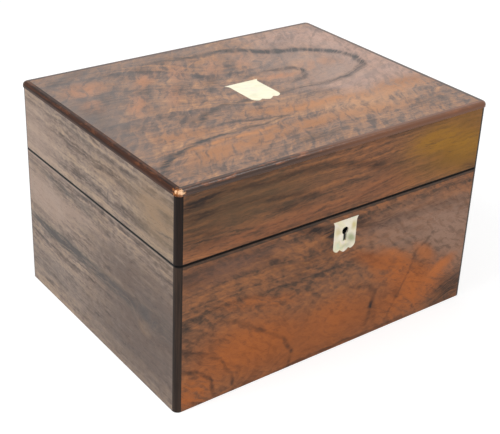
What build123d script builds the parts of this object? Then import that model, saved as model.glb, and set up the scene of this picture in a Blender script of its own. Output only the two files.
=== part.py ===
from build123d import *
import os
from math import radians, tan

os.makedirs("parts", exist_ok=True)

# Driving sizes in millimetres.
# Origin: middle of the underside. +X runs to the right along the front, +Y to the hinged back, +Z up.

# The veneered box
box_width = 280.0
box_depth = 218.0
box_height = 173.0
seam_height = 117.6
seam_gap = 0.5
seam_arris = 0.4

# Carcass, skins and edge trim
board = 8.0
bottom_thickness = 6.0
top_thickness = 7.0
veneer = 1.2
facing = 2.0
bead_radius = 4.5
moulding_height = 4.5
moulding_proud = 0.7
moulding_round = 3.0
moulding_quirk = 0.35

# Dovetailed corners
tail_pitch = 18.0
tail_share = 0.55
tail_slope = 7.0

# Linings and the ledges that carry the tray
lining = 1.0
lining_drop = 0.8
rest_thickness = 4.0
pad_thickness = 8.0
pad_edge = 5.0
pad_margin = 1.5
pad_draw = 1.5

# Tray
tray_depth = 30.0
tray_drop = 1.6
tray_clearance = 0.5
tray_seat = 0.3
tray_wall = 3.5
tray_floor_thickness = 2.0
partition = 2.5
partition_drop = 0.8
partition_let_in = 1.0
centre_length = 84.0
centre_width = 60.0
cushion_crown = 4.0
cushion_edge_drop = 2.0
cushion_margin = 1.2
cushion_draw = 1.6
ribbon_width = 12.0
ribbon_thickness = 0.8
ribbon_bend = 2.2
ribbon_legs = 12.0
ribbon_rise = 1.5

# Back hinges
hinge_length = 34.0
hinge_spacing = 176.0
hinge_inset = 2.5
leaf_thickness = 1.0
leaf_width = 6.4
knuckle_radius = 2.0
knuckle_count = 5
knuckle_gap = 0.3
knuckle_pocket = 0.3
hinge_pin_radius = 0.8
pin_clearance = 0.05
bevel_angle = 48.0
bevel_offset = 0.1

# Box lock and its link plate
lock_x = 4.5
lock_plate_width = 54.0
lock_plate_height = 29.5
lock_plate_thickness = 1.2
selvedge_length = 62.0
selvedge_thickness = 1.5
lock_depth = 6.6
cap_width = 48.0
cap_height = 24.5
cap_wall = 0.8
mortice_clearance = 0.1
loop_spacing = 26.0
loop_thickness = 2.0
loop_width = 3.8
loop_eye_height = 3.2
loop_rim = 0.8
loop_top_web = 3.65
loop_clearance = 0.4
bolt_clearance = 0.3
bolt_travel = 4.4
bolt_bar_height = 2.8
bolt_nose_reach = 4.8
bolt_post_width = 2.4
bolt_standoff = 0.6
bolt_tail = 17.0
talon_width = 5.0
talon_depth = 1.6
stud_radius = 0.8
stud_spacing = 20.0
spring_length = 12.0
spring_thickness = 0.5

# Screws
screw_radius = 1.1
screw_head_radius = 1.9
screw_length = 9.0
plate_screw_length = 5.0
plate_screw_spacing = 38.0
selvedge_screw_inset = 3.2
screw_slot = 0.5
screw_fit = 0.05

# Small round parts and their holes are drawn with this many flats
small_sides = 12

# Keyhole and the two pearl inlays
keyhole_height = 101.6
keyhole_radius = 3.0
keyhole_slot = 3.0
keyhole_drop = 8.2
drill_pin_radius = 0.9
escutcheon_top = 111.0
escutcheon_length = 27.0
escutcheon_width = 21.0
escutcheon_ears = 24.0
cartouche_x = 1.0
cartouche_top = 18.5
cartouche_length = 37.5
cartouche_width = 26.5
cartouche_ears = 31.5

# Planes and levels worked out from the sizes above
half_width = box_width / 2
half_depth = box_depth / 2
carcass_x = half_width - veneer
carcass_y = half_depth - veneer
inner_x = carcass_x - board
inner_y = carcass_y - board
case_rim = seam_height - seam_gap / 2
lid_rim = seam_height + seam_gap / 2
case_board_top = case_rim - facing
lid_board_bottom = lid_rim + facing
ceiling = box_height - veneer - top_thickness
moulding_bottom = box_height - moulding_height
hinge_y = half_depth - hinge_inset
front_inner = -inner_y
lock_mid = front_inner - lock_plate_thickness - (lock_depth - lock_plate_thickness - cap_wall) / 2
floor_top = bottom_thickness + lining


def block(low, high, mode=Mode.ADD):
    """A rectangular block between two corners, added to or cut from the piece being made."""
    size = [b - a for a, b in zip(low, high)]
    middle = [(a + b) / 2 for a, b in zip(low, high)]
    with Locations(tuple(middle)):
        Box(*size, mode=mode)


def small_round(radius, plane, length, mode=Mode.ADD):
    """A slender pin or hole that starts on a plane and runs along its normal."""
    with BuildPart(mode=Mode.PRIVATE) as pin:
        with BuildSketch(plane):
            RegularPolygon(radius, small_sides)
        extrude(amount=length)
    add(pin.part, mode=mode)


def finish_piece(piece, name):
    """Label a piece and write its file."""
    piece.label = name
    export_step(piece, f"parts/{name}.step")


def corner_notches(low, high, cut_x, cut_y):
    """Cut the rebates for the corner beads down the four outer corners."""
    for sx in (-1, 1):
        for sy in (-1, 1):
            xs = sorted((sx * cut_x, sx * (half_width + 1)))
            ys = sorted((sy * cut_y, sy * (half_depth + 1)))
            block((xs[0], ys[0], low), (xs[1], ys[1], high), Mode.SUBTRACT)


# Solids that several pieces are cut with


def corner_tails(side, low, high):
    """Dovetails on both ends of one side board, side -1 for the left and +1 for the right."""
    count = max(2, round((high - low) / tail_pitch))
    pitch = (high - low) / count
    root = pitch * tail_share
    tip = root + 2 * board / tail_slope
    start = min(side * inner_x, side * carcass_x)
    with BuildPart() as tails:
        with BuildSketch(Plane.YZ.offset(start)):
            for number in range(count):
                middle = low + (number + 0.5) * pitch
                for end in (-1, 1):
                    Polygon(
                        (end * inner_y, middle - root / 2),
                        (end * carcass_y, middle - tip / 2),
                        (end * carcass_y, middle + tip / 2),
                        (end * inner_y, middle + root / 2),
                        align=None,
                    )
        extrude(amount=board)
    return tails.part


def back_bevel(turn):
    """The wedge planed off the back rim, turn -1 on the case and +1 on the lid."""
    reach = hinge_inset + 1
    near = seam_height + turn * bevel_offset
    with BuildPart() as wedge:
        with BuildSketch(Plane.YZ.offset(-half_width - 1)):
            Polygon(
                (hinge_y, near),
                (hinge_y + reach, near),
                (hinge_y + reach, near + turn * reach * tan(radians(bevel_angle))),
                align=None,
            )
        extrude(amount=box_width + 2)
    return wedge.part


def shield(width, ears, length):
    """Outline of an inlay: flared ears along the straight top, a scalloped foot with a middle point."""
    half = width / 2
    ear = ears / 2
    flare = 0.15 * width + 0.9
    lobe = 0.29 * width
    cusp = 0.19 * width
    corner_rise = 0.235 * width
    lobe_rise = 0.065 * width
    cusp_rise = 0.125 * width
    with BuildSketch() as outline:
        with BuildLine():
            Line((0, 0), (ear, 0))
            ThreePointArc((ear, 0), (half + 0.28 * (ear - half), -0.42 * flare), (half, -flare))
            Line((half, -flare), (half, corner_rise - length))
            ThreePointArc(
                (half, corner_rise - length),
                (half - 0.26 * (half - lobe), (lobe_rise + 0.38 * (corner_rise - lobe_rise)) - length),
                (lobe, lobe_rise - length),
            )
            Line((lobe, lobe_rise - length), (cusp, cusp_rise - length))
            ThreePointArc(
                (cusp, cusp_rise - length),
                (0.52 * cusp, 0.36 * cusp_rise - length),
                (0, -length),
            )
            mirror(about=Plane.YZ)
        make_face()
    return outline.sketch


def keyhole():
    """Outline of the keyhole, round above and slotted below, about the middle of its round part."""
    with BuildSketch() as outline:
        Circle(keyhole_radius)
        with Locations((0, -keyhole_drop / 2)):
            Rectangle(keyhole_slot, keyhole_drop)
    return outline.sketch


def screw(length, spare=0.0):
    """A countersunk screw with its head at the origin, pointing down, or with spare all round its hole."""
    head = screw_head_radius - screw_radius
    with BuildPart() as piece:
        with BuildSketch():
            RegularPolygon(screw_head_radius + spare, small_sides)
        with BuildSketch(Plane.XY.offset(-head)):
            RegularPolygon(screw_radius + spare, small_sides)
        loft()
        with BuildSketch(Plane.XY.offset(-head)):
            RegularPolygon(screw_radius + spare, small_sides)
        extrude(amount=head - length - spare)
        if not spare:
            Box(2 * screw_head_radius + 1, screw_slot, 2 * screw_slot, mode=Mode.SUBTRACT)
    return piece.part


long_screw = screw(screw_length)
short_screw = screw(plate_screw_length)
long_hole = screw(screw_length, screw_fit)
short_hole = screw(plate_screw_length, screw_fit)
case_bevel = back_bevel(-1)
lid_bevel = back_bevel(1)
hinge_middles = (-hinge_spacing / 2, hinge_spacing / 2)
screw_row = [step * hinge_length / 3 for step in (-1, 0, 1)]
knuckle_room = knuckle_radius + knuckle_pocket
hinge_screw_y = hinge_y - (leaf_width + knuckle_room) / 2
hinge_screw_points = [(middle + step, hinge_screw_y) for middle in hinge_middles for step in screw_row]
selvedge_screw_reach = selvedge_length / 2 - selvedge_screw_inset
selvedge_screw_points = [(lock_x + side * selvedge_screw_reach, lock_mid) for side in (-1, 1)]
plate_foot = case_board_top - lock_plate_height
cap_foot = case_board_top - cap_height
plate_screw_z = (plate_foot + cap_foot) / 2
plate_screw_points = [(lock_x + side * plate_screw_spacing / 2, plate_screw_z) for side in (-1, 1)]
down = (0, 0, 0)
up = (180, 0, 0)
outward = (-90, 0, 0)


def hinge_seats(turn):
    """The housings of both hinges in one rim: leaf recesses, knuckle pockets and screw holes."""
    rim = seam_height + turn * seam_gap / 2
    with BuildPart() as seats:
        for middle in hinge_middles:
            levels = sorted((rim - turn * 1, rim + turn * leaf_thickness))
            block(
                (middle - hinge_length / 2, hinge_y - leaf_width, levels[0]),
                (middle + hinge_length / 2, hinge_y, levels[1]),
            )
            pocket_reach = hinge_length / 2 + knuckle_pocket
            block(
                (middle - pocket_reach, hinge_y - knuckle_room, seam_height - knuckle_room),
                (middle + pocket_reach, hinge_y + knuckle_room, seam_height + knuckle_room),
            )
        with Locations(*[Location((x, y, rim), down if turn < 0 else up) for x, y in hinge_screw_points]):
            add(long_hole)
    return seats.part


case_hinge_seats = hinge_seats(-1)
lid_hinge_seats = hinge_seats(1)


# Carcass boards of the case and the lid, dovetailed at the corners


def front_or_back_board(side, low, high, name, cuts):
    """A front (side -1) or back (side +1) board with the sockets for the side boards' tails."""
    with BuildPart() as piece:
        ys = sorted((side * inner_y, side * carcass_y))
        block((-carcass_x, ys[0], low), (carcass_x, ys[1], high))
        for end in (-1, 1):
            add(corner_tails(end, low, high), mode=Mode.SUBTRACT)
        corner_notches(low - 1, high + 1, half_width - bead_radius, half_depth - bead_radius)
        for cut in cuts:
            add(cut, mode=Mode.SUBTRACT)
    finish_piece(piece.part, name)


def side_board(side, low, high, name):
    """A left (side -1) or right (side +1) board with its dovetails."""
    with BuildPart() as piece:
        xs = sorted((side * inner_x, side * carcass_x))
        block((xs[0], -inner_y, low), (xs[1], inner_y, high))
        add(corner_tails(side, low, high))
        corner_notches(low - 1, high + 1, half_width - bead_radius, half_depth - bead_radius)
    finish_piece(piece.part, name)


def lock_mortice():
    """The hollow for the lock in the front board, with its keyhole and screw holes."""
    with BuildPart() as hollow:
        block(
            (lock_x - lock_plate_width / 2, front_inner - lock_plate_thickness, plate_foot),
            (lock_x + lock_plate_width / 2, front_inner + 1, case_rim),
        )
        block(
            (
                lock_x - cap_width / 2 - mortice_clearance,
                front_inner - lock_depth - mortice_clearance,
                cap_foot - mortice_clearance,
            ),
            (lock_x + cap_width / 2 + mortice_clearance, front_inner, case_rim),
        )
        with BuildSketch(Plane(origin=(lock_x, front_inner, keyhole_height), z_dir=(0, -1, 0))):
            add(keyhole())
        extrude(amount=board + 1)
        with Locations(*[(x, y, case_rim) for x, y in selvedge_screw_points]):
            add(long_hole)
        with Locations(*[Location((x, front_inner, z), outward) for x, z in plate_screw_points]):
            add(short_hole)
    return hollow.part


mortice = lock_mortice()


def link_seat():
    """The recess for the link plate in the lid's front rim, with its screw holes."""
    with BuildPart() as recess:
        block(
            (lock_x - selvedge_length / 2, front_inner - lock_depth, lid_rim - 1),
            (lock_x + selvedge_length / 2, front_inner + 1, lid_rim + selvedge_thickness),
        )
        with Locations(*[Location((x, y, lid_rim), up) for x, y in selvedge_screw_points]):
            add(long_hole)
    return recess.part


link_recess = link_seat()

case_levels = (bottom_thickness, case_board_top)
front_or_back_board(-1, *case_levels, "case_front_board", [mortice])
front_or_back_board(1, *case_levels, "case_back_board", [case_bevel, case_hinge_seats])
side_board(-1, *case_levels, "case_left_board")
side_board(1, *case_levels, "case_right_board")

lid_levels = (lid_board_bottom, ceiling)
front_or_back_board(-1, *lid_levels, "lid_front_board", [link_recess])
front_or_back_board(1, *lid_levels, "lid_back_board", [lid_bevel, lid_hinge_seats])
side_board(-1, *lid_levels, "lid_left_board")
side_board(1, *lid_levels, "lid_right_board")

# Bottom board, glued under the walls
with BuildPart() as case_bottom_board:
    block((-carcass_x, -carcass_y, 0), (carcass_x, carcass_y, bottom_thickness))
    corner_notches(-1, bottom_thickness + 1, half_width - bead_radius, half_depth - bead_radius)
finish_piece(case_bottom_board.part, "case_bottom_board")

# Top board, glued on the lid's walls, with a rebate round it for the edge moulding
with BuildPart() as lid_top_board:
    block((-carcass_x, -carcass_y, ceiling), (carcass_x, carcass_y, moulding_bottom))
    corner_notches(ceiling - 1, moulding_bottom + 1, half_width - bead_radius, half_depth - bead_radius)
    with BuildSketch(Plane.XY.offset(moulding_bottom)):
        Rectangle(box_width - 2 * bead_radius, box_depth - 2 * bead_radius)
    extrude(amount=box_height - veneer - moulding_bottom)
finish_piece(lid_top_board.part, "lid_top_board")


# Facings on the rims, mitred at the corners


def rim_facing(low, name, cuts):
    """Four mitred strips on a rim, each a solid of its own."""
    with BuildPart() as ring:
        with BuildSketch(Plane.XY.offset(low)):
            Rectangle(2 * carcass_x, 2 * carcass_y)
            Rectangle(2 * inner_x, 2 * inner_y, mode=Mode.SUBTRACT)
        extrude(amount=facing)
        corner_notches(low - 1, low + facing + 1, half_width - bead_radius, half_depth - bead_radius)
        for cut in cuts:
            add(cut, mode=Mode.SUBTRACT)
    strips = []
    spread = half_width - half_depth
    for side in (-1, 1):
        with BuildPart() as long_strip:
            add(ring.part)
            with BuildSketch(Plane.XY.offset(low - 1)):
                Polygon(
                    (-spread, 0),
                    (-half_width, side * half_depth),
                    (half_width, side * half_depth),
                    (spread, 0),
                    align=None,
                )
            extrude(amount=facing + 2, mode=Mode.INTERSECT)
        with BuildPart() as short_strip:
            add(ring.part)
            with BuildSketch(Plane.XY.offset(low - 1)):
                Polygon(
                    (side * spread, 0),
                    (side * half_width, -half_depth),
                    (side * half_width, half_depth),
                    align=None,
                )
            extrude(amount=facing + 2, mode=Mode.INTERSECT)
        strips += long_strip.part.solids() + short_strip.part.solids()
    finish_piece(Compound(children=strips), name)


def selvedge_recess():
    """The notch in the case's front facing for the lock's selvedge."""
    with BuildPart() as notch:
        block(
            (lock_x - selvedge_length / 2, front_inner - lock_depth, case_rim - selvedge_thickness),
            (lock_x + selvedge_length / 2, front_inner + 1, case_rim + 1),
        )
    return notch.part


rim_facing(case_board_top, "case_rim_facing", [case_bevel, case_hinge_seats, mortice, selvedge_recess()])
rim_facing(lid_rim, "lid_rim_facing", [lid_bevel, lid_hinge_seats, link_recess])

# Veneers: a front, a back and two ends on the case and the lid, and one sheet on top


def wall_veneer(face, low, high, seam_edge, name, cuts=()):
    """One sheet of veneer between the corner beads, softened along the seam."""
    front_back = face in ("front", "back")
    side = -1 if face in ("front", "left") else 1
    with BuildPart() as sheet:
        if front_back:
            ys = sorted((side * carcass_y, side * half_depth))
            block((bead_radius - half_width, ys[0], low), (half_width - bead_radius, ys[1], high))
            outer = sheet.faces().sort_by(Axis.Y)[0 if side < 0 else -1]
        else:
            xs = sorted((side * carcass_x, side * half_width))
            block((xs[0], bead_radius - half_depth, low), (xs[1], half_depth - bead_radius, high))
            outer = sheet.faces().sort_by(Axis.X)[0 if side < 0 else -1]
        fillet(outer.edges().sort_by(Axis.Z)[-1 if seam_edge == high else 0], seam_arris)
        for cut in cuts:
            add(cut, mode=Mode.SUBTRACT)
    finish_piece(sheet.part, name)


def inlay(plane, outline, name, hole=None):
    """A pearl inlay as thick as the veneer that it is let into."""
    with BuildPart() as piece:
        with BuildSketch(plane):
            add(outline)
            if hole:
                with Locations((0, keyhole_height - escutcheon_top)):
                    add(hole, mode=Mode.SUBTRACT)
        extrude(amount=-veneer)
    finish_piece(piece.part, name)
    return piece.part


front_plane = Plane(origin=(lock_x, -half_depth, escutcheon_top), x_dir=(1, 0, 0), z_dir=(0, -1, 0))
top_plane = Plane.XY.offset(box_height).shift_origin((cartouche_x, cartouche_top, box_height))
escutcheon_outline = shield(escutcheon_width, escutcheon_ears, escutcheon_length)
cartouche_outline = shield(cartouche_width, cartouche_ears, cartouche_length)
inlay(front_plane, escutcheon_outline, "escutcheon", keyhole())
inlay(top_plane, cartouche_outline, "cartouche")

with BuildPart() as escutcheon_bed:
    with BuildSketch(front_plane):
        add(escutcheon_outline)
    extrude(amount=-veneer)
with BuildPart() as cartouche_bed:
    with BuildSketch(top_plane):
        add(cartouche_outline)
    extrude(amount=-veneer)

wall_veneer("front", 0, case_rim, case_rim, "case_front_veneer", [escutcheon_bed.part])
wall_veneer("back", 0, case_rim, case_rim, "case_back_veneer", [case_bevel, case_hinge_seats])
wall_veneer("left", 0, case_rim, case_rim, "case_left_veneer")
wall_veneer("right", 0, case_rim, case_rim, "case_right_veneer")
wall_veneer("front", lid_rim, moulding_bottom, lid_rim, "lid_front_veneer")
wall_veneer("back", lid_rim, moulding_bottom, lid_rim, "lid_back_veneer", [lid_bevel, lid_hinge_seats])
wall_veneer("left", lid_rim, moulding_bottom, lid_rim, "lid_left_veneer")
wall_veneer("right", lid_rim, moulding_bottom, lid_rim, "lid_right_veneer")

with BuildPart() as lid_top_veneer:
    with BuildSketch(Plane.XY.offset(box_height - veneer)):
        Rectangle(box_width - 2 * bead_radius, box_depth - 2 * bead_radius)
    extrude(amount=veneer)
    add(cartouche_bed.part, mode=Mode.SUBTRACT)
finish_piece(lid_top_veneer.part, "lid_top_veneer")


# Quarter-round beads down the corners


def corner_beads(low, high, name, bevel):
    """Four quarter-round beads, each a solid of its own."""
    with BuildPart() as beads:
        with BuildSketch(Plane.XY.offset(low)):
            for sx in (-1, 1):
                for sy in (-1, 1):
                    centre = (sx * (half_width - bead_radius), sy * (half_depth - bead_radius))
                    rim_x = (sx * half_width, centre[1])
                    rim_y = (centre[0], sy * half_depth)
                    bow = bead_radius / 2**0.5
                    with BuildLine():
                        Line(centre, rim_x)
                        ThreePointArc(rim_x, (centre[0] + sx * bow, centre[1] + sy * bow), rim_y)
                        Line(rim_y, centre)
                    make_face()
        extrude(amount=high - low)
        add(bevel, mode=Mode.SUBTRACT)
    finish_piece(beads.part, name)


corner_beads(0, case_rim, "case_corner_beads", case_bevel)
corner_beads(lid_rim, moulding_bottom, "lid_corner_beads", lid_bevel)

# Rounded moulding let in round the top edge of the lid, in four mitred lengths
moulding_x = half_width + moulding_proud
moulding_y = half_depth + moulding_proud
with BuildPart() as moulding_ring:
    with BuildSketch(Plane.XY.offset(moulding_bottom)):
        RectangleRounded(2 * moulding_x, 2 * moulding_y, bead_radius + moulding_proud)
        Rectangle(box_width - 2 * bead_radius, box_depth - 2 * bead_radius, mode=Mode.SUBTRACT)
    extrude(amount=moulding_height)
    top_face = moulding_ring.faces().sort_by(Axis.Z)[-1]
    fillet(top_face.outer_wire().edges(), moulding_round)
    bottom_face = moulding_ring.faces().sort_by(Axis.Z)[0]
    chamfer(bottom_face.outer_wire().edges(), moulding_quirk)

moulding_spread = moulding_x - moulding_y
left_point, right_point = (-moulding_spread, 0), (moulding_spread, 0)
front_left, front_right = (-moulding_x, -moulding_y), (moulding_x, -moulding_y)
back_left, back_right = (-moulding_x, moulding_y), (moulding_x, moulding_y)
moulding_wedges = {
    "front_moulding": [left_point, front_left, front_right, right_point],
    "back_moulding": [left_point, back_left, back_right, right_point],
    "left_moulding": [left_point, front_left, back_left],
    "right_moulding": [right_point, front_right, back_right],
}
for name, corners in moulding_wedges.items():
    with BuildPart() as strip:
        add(moulding_ring.part)
        with BuildSketch(Plane.XY.offset(moulding_bottom - 1)):
            Polygon(*corners, align=None)
        extrude(amount=moulding_height + 2, mode=Mode.INTERSECT)
    finish_piece(strip.part, name)

# Card linings covered in paper, and the ledges that the tray stands on
with BuildPart() as floor_lining:
    block((-inner_x, -inner_y, bottom_thickness), (inner_x, inner_y, floor_top))
finish_piece(floor_lining.part, "floor_lining")


def wall_lining(low, high, thickness, inset, name, window=None):
    """Four strips standing against the walls, the long ones running through."""
    outer_x = inner_x - inset
    outer_y = inner_y - inset
    with BuildPart() as strips:
        for side in (-1, 1):
            ys = sorted((side * outer_y, side * (outer_y - thickness)))
            xs = sorted((side * outer_x, side * (outer_x - thickness)))
            block((-outer_x, ys[0], low), (outer_x, ys[1], high))
            block((xs[0], -outer_y + thickness + 0.1, low), (xs[1], outer_y - thickness - 0.1, high))
        if window:
            block(*window, Mode.SUBTRACT)
    finish_piece(strips.part, name)


lining_top = case_rim - lining_drop
lock_window = (
    (lock_x - lock_plate_width / 2 - 1, front_inner - 1, plate_foot - 1),
    (lock_x + lock_plate_width / 2 + 1, front_inner + 2 * lining, case_rim),
)
tray_top = case_rim - tray_drop
tray_bottom = tray_top - tray_depth
wall_lining(floor_top, lining_top, lining, 0, "case_wall_lining", lock_window)
wall_lining(floor_top, tray_bottom - tray_seat, rest_thickness, lining, "tray_rests")
wall_lining(lid_rim + lining_drop, ceiling, lining, 0, "lid_wall_lining")

# Stuffed silk pad under the lid, drawn in along its sides and swelling to the middle
pad_x = inner_x - lining - pad_margin
pad_y = inner_y - lining - pad_margin


def drawn_outline(half_x, half_y, draw):
    """A rectangle whose sides are pulled in between its corners."""
    with BuildSketch() as outline:
        with BuildLine():
            ThreePointArc((-half_x, -half_y), (0, draw - half_y), (half_x, -half_y))
            ThreePointArc((half_x, -half_y), (half_x - draw, 0), (half_x, half_y))
            ThreePointArc((half_x, half_y), (0, half_y - draw), (-half_x, half_y))
            ThreePointArc((-half_x, half_y), (draw - half_x, 0), (-half_x, -half_y))
        make_face()
    return outline.sketch


with BuildPart() as lid_pad:
    with BuildSketch(Plane.XY.offset(ceiling)):
        add(drawn_outline(pad_x, pad_y, pad_draw))
    extrude(amount=-pad_thickness)
    for plane, reach, run in ((Plane.XZ, pad_x, pad_y), (Plane.YZ, pad_y, pad_x)):
        with BuildSketch(plane.offset(-run - 1)):
            with BuildLine():
                left_foot, right_foot = (-reach, ceiling - pad_edge), (reach, ceiling - pad_edge)
                Polyline(left_foot, (-reach, ceiling), (reach, ceiling), right_foot)
                ThreePointArc(left_foot, (0, ceiling - pad_thickness), right_foot)
            make_face()
        extrude(amount=2 * run + 2, mode=Mode.INTERSECT)
finish_piece(lid_pad.part, "lid_pad")

# Lift-out tray: rebated corners, partitions let into grooves and halved over each other
tray_x = inner_x - lining - tray_clearance
tray_y = inner_y - lining - tray_clearance
wall_foot = tray_bottom + tray_floor_thickness
rebate = tray_wall / 2
partition_top = tray_top - partition_drop
partition_half = (wall_foot + partition_top) / 2
cross_x = centre_length / 2 + partition / 2
long_y = centre_width / 2 + partition / 2

with BuildPart() as tray_floor:
    block((-tray_x, -tray_y, tray_bottom), (tray_x, tray_y, wall_foot))
finish_piece(tray_floor.part, "tray_floor")

with BuildPart() as tray_long_walls:
    for side in (-1, 1):
        ys = sorted((side * tray_y, side * (tray_y - tray_wall)))
        block((-tray_x, ys[0], wall_foot), (tray_x, ys[1], tray_top))
        for end in (-1, 1):
            xs = sorted((end * tray_x, end * (tray_x - tray_wall)))
            step = sorted((side * (tray_y - tray_wall), side * (tray_y - rebate)))
            block((xs[0], step[0], wall_foot), (xs[1], step[1], tray_top), Mode.SUBTRACT)
            groove = sorted((side * (tray_y - tray_wall), side * (tray_y - tray_wall + partition_let_in)))
            block(
                (end * cross_x - partition / 2, groove[0], wall_foot),
                (end * cross_x + partition / 2, groove[1], partition_top),
                Mode.SUBTRACT,
            )
finish_piece(tray_long_walls.part, "tray_long_walls")

with BuildPart() as tray_end_walls:
    for side in (-1, 1):
        xs = sorted((side * tray_x, side * (tray_x - tray_wall)))
        block((xs[0], rebate - tray_y, wall_foot), (xs[1], tray_y - rebate, tray_top))
        groove = sorted((side * (tray_x - tray_wall), side * (tray_x - tray_wall + partition_let_in)))
        for end in (-1, 1):
            block(
                (groove[0], end * long_y - partition / 2, wall_foot),
                (groove[1], end * long_y + partition / 2, partition_top),
                Mode.SUBTRACT,
            )
finish_piece(tray_end_walls.part, "tray_end_walls")

with BuildPart() as tray_long_partitions:
    reach = tray_x - tray_wall + partition_let_in
    for side in (-1, 1):
        block(
            (-reach, side * long_y - partition / 2, wall_foot),
            (reach, side * long_y + partition / 2, partition_top),
        )
        for end in (-1, 1):
            block(
                (end * cross_x - partition / 2, side * long_y - partition, partition_half),
                (end * cross_x + partition / 2, side * long_y + partition, partition_top + 1),
                Mode.SUBTRACT,
            )
finish_piece(tray_long_partitions.part, "tray_long_partitions")

with BuildPart() as tray_cross_partitions:
    reach = tray_y - tray_wall + partition_let_in
    for side in (-1, 1):
        block(
            (side * cross_x - partition / 2, -reach, wall_foot),
            (side * cross_x + partition / 2, reach, partition_top),
        )
        for end in (-1, 1):
            block(
                (side * cross_x - partition, end * long_y - partition / 2, wall_foot - 1),
                (side * cross_x + partition, end * long_y + partition / 2, partition_half),
                Mode.SUBTRACT,
            )
finish_piece(tray_cross_partitions.part, "tray_cross_partitions")

# Pincushion in the middle of the tray
cushion_x = centre_length / 2 - cushion_margin
cushion_y = centre_width / 2 - cushion_margin
cushion_edge = partition_top - cushion_edge_drop
cushion_top = tray_top + cushion_crown
with BuildPart() as pincushion:
    with BuildSketch(Plane.XY.offset(wall_foot)):
        add(drawn_outline(cushion_x, cushion_y, cushion_draw))
    extrude(amount=cushion_top - wall_foot)
    for plane, reach, run in ((Plane.XZ, cushion_x, cushion_y), (Plane.YZ, cushion_y, cushion_x)):
        with BuildSketch(plane.offset(-run - 1)):
            with BuildLine():
                left_edge, right_edge = (-reach, cushion_edge), (reach, cushion_edge)
                Polyline(left_edge, (-reach, wall_foot), (reach, wall_foot), right_edge)
                ThreePointArc(left_edge, (0, cushion_top), right_edge)
            make_face()
        extrude(amount=2 * run + 2, mode=Mode.INTERSECT)
finish_piece(pincushion.part, "pincushion")

# Ribbon tabs glued inside the tray's ends, to lift it by
with BuildPart() as tray_ribbons:
    for side in (-1, 1):
        wall_face = tray_x - tray_wall - ribbon_thickness / 2
        crest = tray_top + ribbon_rise
        with BuildSketch(Plane.XZ.offset(-ribbon_width / 2)):
            with BuildLine():
                Line((side * wall_face, crest - ribbon_legs), (side * wall_face, crest))
                ThreePointArc(
                    (side * wall_face, crest),
                    (side * (wall_face - ribbon_bend), crest + ribbon_bend),
                    (side * (wall_face - 2 * ribbon_bend), crest),
                )
                Line(
                    (side * (wall_face - 2 * ribbon_bend), crest),
                    (side * (wall_face - 2 * ribbon_bend), crest - ribbon_legs / 2),
                )
            trace(line_width=ribbon_thickness)
        extrude(amount=ribbon_width)
finish_piece(tray_ribbons.part, "tray_ribbons")


# Butt hinges: the case leaf carries the odd knuckles and the lid leaf the even ones


def pin_end(middle):
    """The plane across the left end of a hinge's pin."""
    return Plane(origin=(middle - hinge_length / 2, hinge_y, seam_height), z_dir=(1, 0, 0))


def hinge_leaf(middle, turn, name):
    """One leaf, turn -1 on the case and +1 on the lid, with its knuckles on the hinge axis."""
    rim = seam_height + turn * seam_gap / 2
    pitch = hinge_length / knuckle_count
    own = [n for n in range(knuckle_count) if (n % 2 == 0) == (turn < 0)]
    start = middle - hinge_length / 2
    levels = sorted((rim, rim + turn * leaf_thickness))
    with BuildPart() as leaf:
        block((start, hinge_y - leaf_width, levels[0]), (start + hinge_length, hinge_y, levels[1]))
        for number in range(knuckle_count):
            centre = start + (number + 0.5) * pitch
            if number not in own:
                gap_reach = (pitch + knuckle_gap) / 2
                block(
                    (centre - gap_reach, hinge_y - knuckle_room, seam_height - board),
                    (centre + gap_reach, hinge_y + board, seam_height + board),
                    Mode.SUBTRACT,
                )
        for number in own:
            centre = start + (number + 0.5) * pitch
            with Locations(Location((centre, hinge_y, seam_height), (0, 90, 0))):
                Cylinder(knuckle_radius, pitch - knuckle_gap)
        small_round(hinge_pin_radius + pin_clearance, pin_end(middle), hinge_length, Mode.SUBTRACT)
        spin = down if turn < 0 else up
        with Locations(*[Location((middle + step, hinge_screw_y, rim), spin) for step in screw_row]):
            add(long_hole, mode=Mode.SUBTRACT)
    finish_piece(leaf.part, name)


for middle, hand in zip(hinge_middles, ("left", "right")):
    hinge_leaf(middle, -1, f"{hand}_hinge_case_leaf")
    hinge_leaf(middle, 1, f"{hand}_hinge_lid_leaf")
    with BuildPart() as hinge_pin:
        small_round(hinge_pin_radius, pin_end(middle), hinge_length)
    finish_piece(hinge_pin.part, f"{hand}_hinge_pin")

with BuildPart() as hinge_case_screws:
    with Locations(*[(x, y, case_rim) for x, y in hinge_screw_points]):
        add(long_screw)
finish_piece(hinge_case_screws.part, "hinge_case_screws")

with BuildPart() as hinge_lid_screws:
    with Locations(*[Location((x, y, lid_rim), up) for x, y in hinge_screw_points]):
        add(long_screw)
finish_piece(hinge_lid_screws.part, "hinge_lid_screws")

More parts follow.
